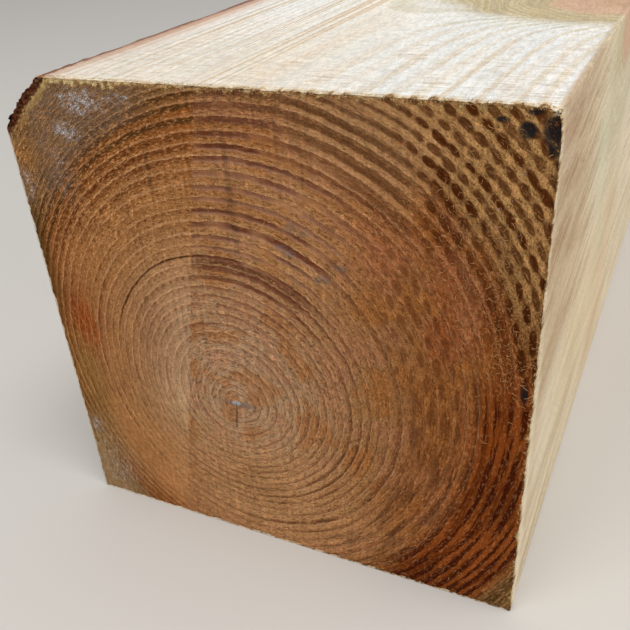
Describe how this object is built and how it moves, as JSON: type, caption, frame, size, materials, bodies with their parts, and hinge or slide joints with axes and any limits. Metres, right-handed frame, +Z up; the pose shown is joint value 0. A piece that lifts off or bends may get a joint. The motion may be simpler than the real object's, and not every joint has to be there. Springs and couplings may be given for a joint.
{
  "type": "sawn timber beam",
  "caption": "Square rough-sawn softwood beam with boxed heart, sharp sawn arrises and one arris left round and waney from the log surface.",
  "frame": {"origin": "middle of the rest face, at the bottom centre of the bounding box", "axes": "+Y along the beam from the small end with the widest wane to the butt end, +X across the width to the right seen from the small end, +Z up"},
  "size_m": [0.2, 2.4, 0.198],
  "materials": {
    "sawn_wood": "rough sawn, unplaned and untreated, orange-brown heartwood and cream sapwood"
  },
  "bodies": {
    "root": {"beam": "sawn_wood"}
  },
  "joints": []
}
